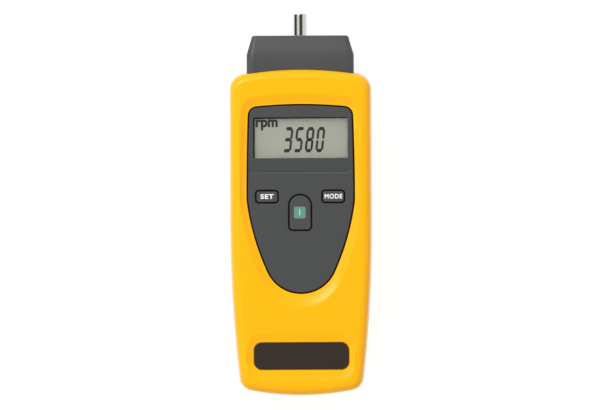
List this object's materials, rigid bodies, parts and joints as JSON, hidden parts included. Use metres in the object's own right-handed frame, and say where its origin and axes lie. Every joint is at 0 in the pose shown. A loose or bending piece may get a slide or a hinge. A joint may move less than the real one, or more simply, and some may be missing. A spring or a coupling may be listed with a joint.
{
  "type": "laser tachometer",
  "caption": "Hand-held laser tachometer: drafted two-shell case with sunk display panel, keys and name plate, and a plug-in contact adapter whose bare shaft turns in ball bearings.",
  "frame": {"origin": "mouth of the tripod bush, on the flat back of the case", "axes": "+Y along the case towards the shaft, +Z out of the display, X across the case"},
  "size_m": [0.061, 0.1643, 0.04],
  "materials": {
    "case": "fine moulded texture",
    "panel": "satin",
    "keys": "satin",
    "key_field": "printed",
    "adapter": "satin",
    "plate": "satin foil",
    "window": "clear",
    "red_window": "tinted",
    "lens": "polished",
    "display": "satin",
    "digits": "flat",
    "white_plastic": "moulded",
    "black_plastic": "moulded",
    "zebra": "striped",
    "board": "solder resist",
    "steel": "ground",
    "shaft": "polished",
    "brass": "turned",
    "nickel": "plated",
    "cell": "sleeved",
    "sleeve": "shrunk",
    "marks": "reflective"
  },
  "bodies": {
    "housing": {"front_shell": "case", "rear_shell": "case", "tripod_bush": "brass", "case_screws": "steel", "name_plate": "plate", "face_panel": "panel", "display_bezel": "panel", "display_window": "window", "lcd_glass": "display", "lcd_digits": "digits", "lcd_holder": "white_plastic", "zebra_strips": "zebra", "circuit_board": "board", "board_screws": "steel", "tact_switches": "black_plastic", "processor_chip": "black_plastic", "quartz_crystal": "nickel", "capacitors": "sleeve", "optics_window": "red_window", "optics_block": "black_plastic", "laser_barrel": "brass", "laser_diode": "brass", "collimating_lens": "lens", "receiver_lens": "lens", "photodiode": "black_plastic", "sensor_board": "board", "board_link": "black_plastic", "cell_left": "cell", "cell_right": "cell", "spring_left": "nickel", "spring_right": "nickel", "bridge_contact": "nickel", "positive_contact": "nickel", "negative_contact": "nickel"},
    "battery_door": {"battery_door": "case"},
    "memory_key": {"memory_key": "keys", "memory_plunger": "black_plastic"},
    "function_key": {"function_key": "keys", "function_plunger": "black_plastic"},
    "power_key": {"power_key": "keys", "power_plunger": "black_plastic", "power_key_inlay": "key_field"},
    "adapter": {"adapter_housing": "adapter", "bearing_retainer": "steel", "retainer_screws": "steel", "front_outer_ring": "steel", "rear_outer_ring": "steel", "outer_spacer": "steel"},
    "spindle": {"drive_shaft": "shaft", "front_inner_ring": "steel", "rear_inner_ring": "steel", "inner_spacer": "steel", "retaining_clip": "steel", "reflector_disc": "black_plastic", "reflector_marks": "marks"},
    "ball_sets": {"front_balls": "steel", "front_cage": "brass", "rear_balls": "steel", "rear_cage": "brass"}
  },
  "joints": [
    {"name": "door_slide", "type": "slide", "parent": "housing", "child": "battery_door", "axis": [0, -1, 0], "range_m": [0, 0.066]},
    {"name": "memory_press", "type": "slide", "parent": "housing", "child": "memory_key", "axis": [0, 0, -1], "range_m": [0, 0.0007], "stiffness_N_per_m": 900, "springref_m": -0.0008},
    {"name": "function_press", "type": "slide", "parent": "housing", "child": "function_key", "axis": [0, 0, -1], "range_m": [0, 0.0007], "stiffness_N_per_m": 900, "springref_m": -0.0008},
    {"name": "power_press", "type": "slide", "parent": "housing", "child": "power_key", "axis": [0, 0, -1], "range_m": [0, 0.0007], "stiffness_N_per_m": 900, "springref_m": -0.0008},
    {"name": "adapter_pull", "type": "slide", "parent": "housing", "child": "adapter", "axis": [0, 1, 0], "range_m": [0, 0.03]},
    {"name": "spindle_turn", "type": "hinge", "parent": "adapter", "child": "spindle", "pos_m": [0, 0.06, 0.02], "axis": [0, 1, 0], "continuous": true},
    {"name": "ball_turn", "type": "hinge", "parent": "adapter", "child": "ball_sets", "pos_m": [0, 0.06, 0.02], "axis": [0, 1, 0], "continuous": true}
  ],
  "couplings": [
    {"joint": "ball_turn", "follows": "spindle_turn", "ratio": 0.357}
  ]
}
